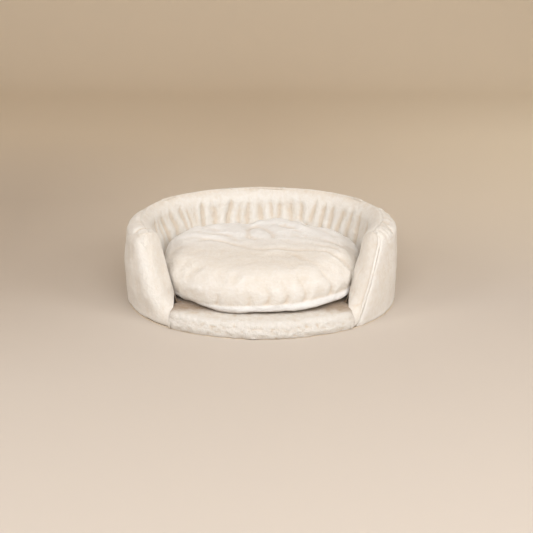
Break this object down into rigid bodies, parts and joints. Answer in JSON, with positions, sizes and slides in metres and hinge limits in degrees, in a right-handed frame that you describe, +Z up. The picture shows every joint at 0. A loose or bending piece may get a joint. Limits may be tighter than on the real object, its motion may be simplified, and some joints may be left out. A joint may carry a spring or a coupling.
{
  "type": "pet cushion bed",
  "caption": "Oval plush pet bed: padded base, C-shaped padded wall round the back and sides, low open front, and a loose puffy cushion with a zipped cover.",
  "frame": {"origin": "on the floor, under the middle of the bed's oval footprint", "axes": "+Z up, +X along the bed's width, +Y from the open front to the back wall"},
  "size_m": [0.599, 0.475, 0.19],
  "materials": {
    "plush": "matte",
    "lining": "matte",
    "foam": "matte",
    "fibre": "matte",
    "bag_cloth": "matte",
    "zip_tape": "matte",
    "zip_coil": "satin",
    "zip_metal": "satin"
  },
  "bodies": {
    "bed": {"underside_lining": "lining", "base_foam": "foam", "base_cover": "plush", "wall_foam": "foam", "wall_wadding": "fibre", "wall_cover_outer": "plush", "wall_cover_inner": "plush", "wall_end_left": "plush", "wall_end_right": "plush"},
    "cushion": {"cushion_cover_top": "plush", "cushion_cover_bottom": "plush", "cushion_bag_upper": "bag_cloth", "cushion_bag_lower": "bag_cloth", "cushion_filling": "fibre", "zip_tape_upper": "zip_tape", "zip_tape_lower": "zip_tape", "zip_coil_upper": "zip_coil", "zip_coil_lower": "zip_coil", "zip_stop_left": "zip_metal", "zip_stop_right": "zip_metal"},
    "slider": {"zip_slider": "zip_metal"},
    "pull": {"zip_pull": "zip_metal"}
  },
  "joints": [
    {"name": "cushion_lift", "type": "slide", "parent": "bed", "child": "cushion", "axis": [0, 0, 1], "range_m": [0, 0.2]},
    {"name": "zip_slide", "type": "hinge", "parent": "cushion", "child": "slider", "pos_m": [0, -0.175, 0.0723], "axis": [0, 0, 1], "range_deg": [0, 33.6]},
    {"name": "zip_pull_swing", "type": "hinge", "parent": "slider", "child": "pull", "pos_m": [0.09704, 0.14621, 0.0723], "axis": [0, 0, 1], "range_deg": [-150, 0]}
  ]
}
